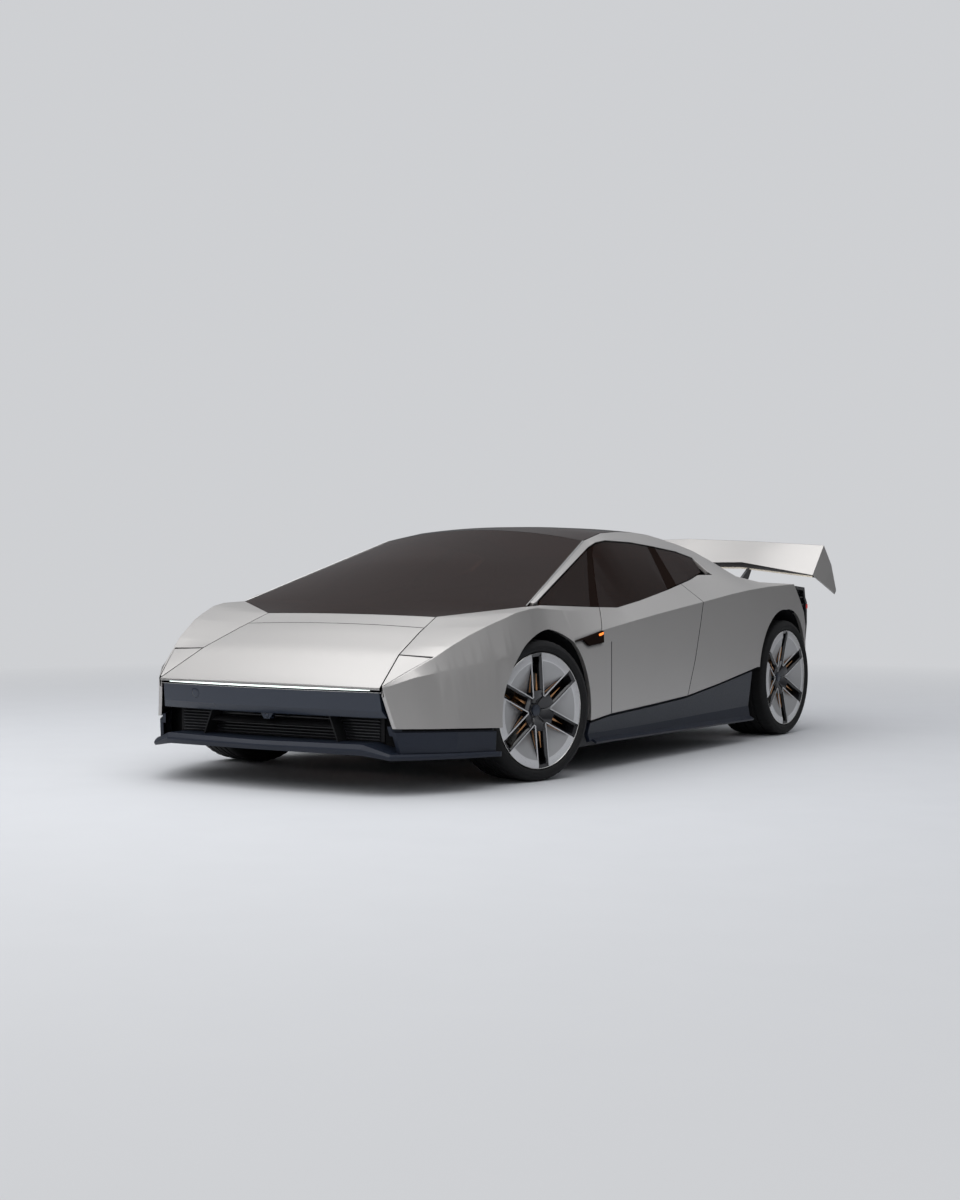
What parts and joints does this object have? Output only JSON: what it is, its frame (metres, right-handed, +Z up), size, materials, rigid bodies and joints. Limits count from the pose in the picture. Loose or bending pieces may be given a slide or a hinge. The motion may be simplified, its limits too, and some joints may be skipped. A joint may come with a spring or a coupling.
{
  "type": "supercar",
  "caption": "Low two-seat electric supercar with folded wedge bodywork, dark glass roof, opening doors and lids, steered front wheels and a tall rear wing.",
  "frame": {"origin": "on the ground at the middle of the overall length and width", "axes": "+Z up, the nose points along -Y, the car's left side is +X"},
  "size_m": [2.081, 4.6, 1.232],
  "materials": {
    "body_paint": "satin silver-white paint",
    "gloss_dark": "glossy blue-black",
    "satin_dark": "satin dark blue-grey",
    "tinted_glass": "bronze tinted glass",
    "tyre_rubber": "black rubber",
    "rim_two_tone": "grey covers on black spokes",
    "bare_metal": "cast aluminium",
    "structure": "dark coated structure",
    "trim_black": "matt black",
    "lamp_amber": "amber lamp",
    "lamp_white": "white light line",
    "lamp_red": "red light line",
    "seat_trim": "dark leather"
  },
  "bodies": {
    "chassis": {"battery_pack": "structure", "bulkheads": "structure", "bumper_bar": "gloss_dark", "corner_panels": "body_paint", "cowl": "body_paint", "dashboard": "trim_black", "diffuser": "satin_dark", "drive_motor": "bare_metal", "fender_left": "body_paint", "fender_right": "body_paint", "floor_pan": "structure", "front_intake": "trim_black", "front_trunk": "trim_black", "front_valance": "satin_dark", "knuckles_rear": "bare_metal", "pod_lamps": "lamp_amber", "quarter_left": "body_paint", "quarter_right": "body_paint", "rear_fascia": "trim_black", "rear_window": "tinted_glass", "roof_glass": "tinted_glass", "seats": "seat_trim", "side_pods": "gloss_dark", "side_windows": "tinted_glass", "sills": "satin_dark", "splitter": "satin_dark", "steering_wheel": "trim_black", "subframes": "structure", "suspension_arms": "structure", "tail_light": "lamp_red", "window_posts": "trim_black", "windshield": "tinted_glass", "wing": "body_paint", "wing_lip": "gloss_dark", "wing_pylons": "trim_black"},
    "hood": {"hood": "body_paint", "light_line": "lamp_white"},
    "deck": {"deck_lid": "body_paint"},
    "door_left": {"door_left": "body_paint", "door_glass_left": "tinted_glass"},
    "door_right": {"door_right": "body_paint", "door_glass_right": "tinted_glass"},
    "steer_left": {"knuckle_front_left": "bare_metal"},
    "steer_right": {"knuckle_front_right": "bare_metal"},
    "wheel_front_left": {"wheel_front_left": "rim_two_tone", "tyre_front_left": "tyre_rubber"},
    "wheel_front_right": {"wheel_front_right": "rim_two_tone", "tyre_front_right": "tyre_rubber"},
    "wheel_rear_left": {"wheel_rear_left": "rim_two_tone", "tyre_rear_left": "tyre_rubber"},
    "wheel_rear_right": {"wheel_rear_right": "rim_two_tone", "tyre_rear_right": "tyre_rubber"}
  },
  "joints": [
    {"name": "hood_hinge", "type": "hinge", "parent": "chassis", "child": "hood", "pos_m": [0, -1.678, 0.762], "axis": [-1, 0, 0], "range_deg": [0, 50]},
    {"name": "deck_hinge", "type": "hinge", "parent": "chassis", "child": "deck", "pos_m": [0, 1.166, 0.992], "axis": [1, 0, 0], "range_deg": [0, 45]},
    {"name": "door_left_hinge", "type": "hinge", "parent": "chassis", "child": "door_left", "pos_m": [0.993, -0.758, 0.55], "axis": [0, 0, -1], "range_deg": [0, 62]},
    {"name": "door_right_hinge", "type": "hinge", "parent": "chassis", "child": "door_right", "pos_m": [-0.993, -0.758, 0.55], "axis": [0, 0, 1], "range_deg": [0, 62]},
    {"name": "steer_left_pivot", "type": "hinge", "parent": "chassis", "child": "steer_left", "pos_m": [0.82, -1.275, 0.34], "axis": [0, 0, 1], "range_deg": [-17.8, 46.2]},
    {"name": "steer_right_pivot", "type": "hinge", "parent": "chassis", "child": "steer_right", "pos_m": [-0.82, -1.275, 0.34], "axis": [0, 0, 1], "range_deg": [-17.8, 46.2]},
    {"name": "wheel_front_left_spin", "type": "hinge", "parent": "steer_left", "child": "wheel_front_left", "pos_m": [0.95766, -1.30983, 0.34], "axis": [0.9694, -0.2453, 0], "continuous": true},
    {"name": "wheel_front_right_spin", "type": "hinge", "parent": "steer_right", "child": "wheel_front_right", "pos_m": [-0.95766, -1.24017, 0.34], "axis": [0.9694, -0.2453, 0], "continuous": true},
    {"name": "wheel_rear_left_spin", "type": "hinge", "parent": "chassis", "child": "wheel_rear_left", "pos_m": [0.973, 1.545, 0.34], "axis": [1, 0, 0], "continuous": true},
    {"name": "wheel_rear_right_spin", "type": "hinge", "parent": "chassis", "child": "wheel_rear_right", "pos_m": [-0.973, 1.545, 0.34], "axis": [1, 0, 0], "continuous": true}
  ],
  "couplings": [
    {"joint": "steer_right_pivot", "follows": "steer_left_pivot", "ratio": 1}
  ]
}
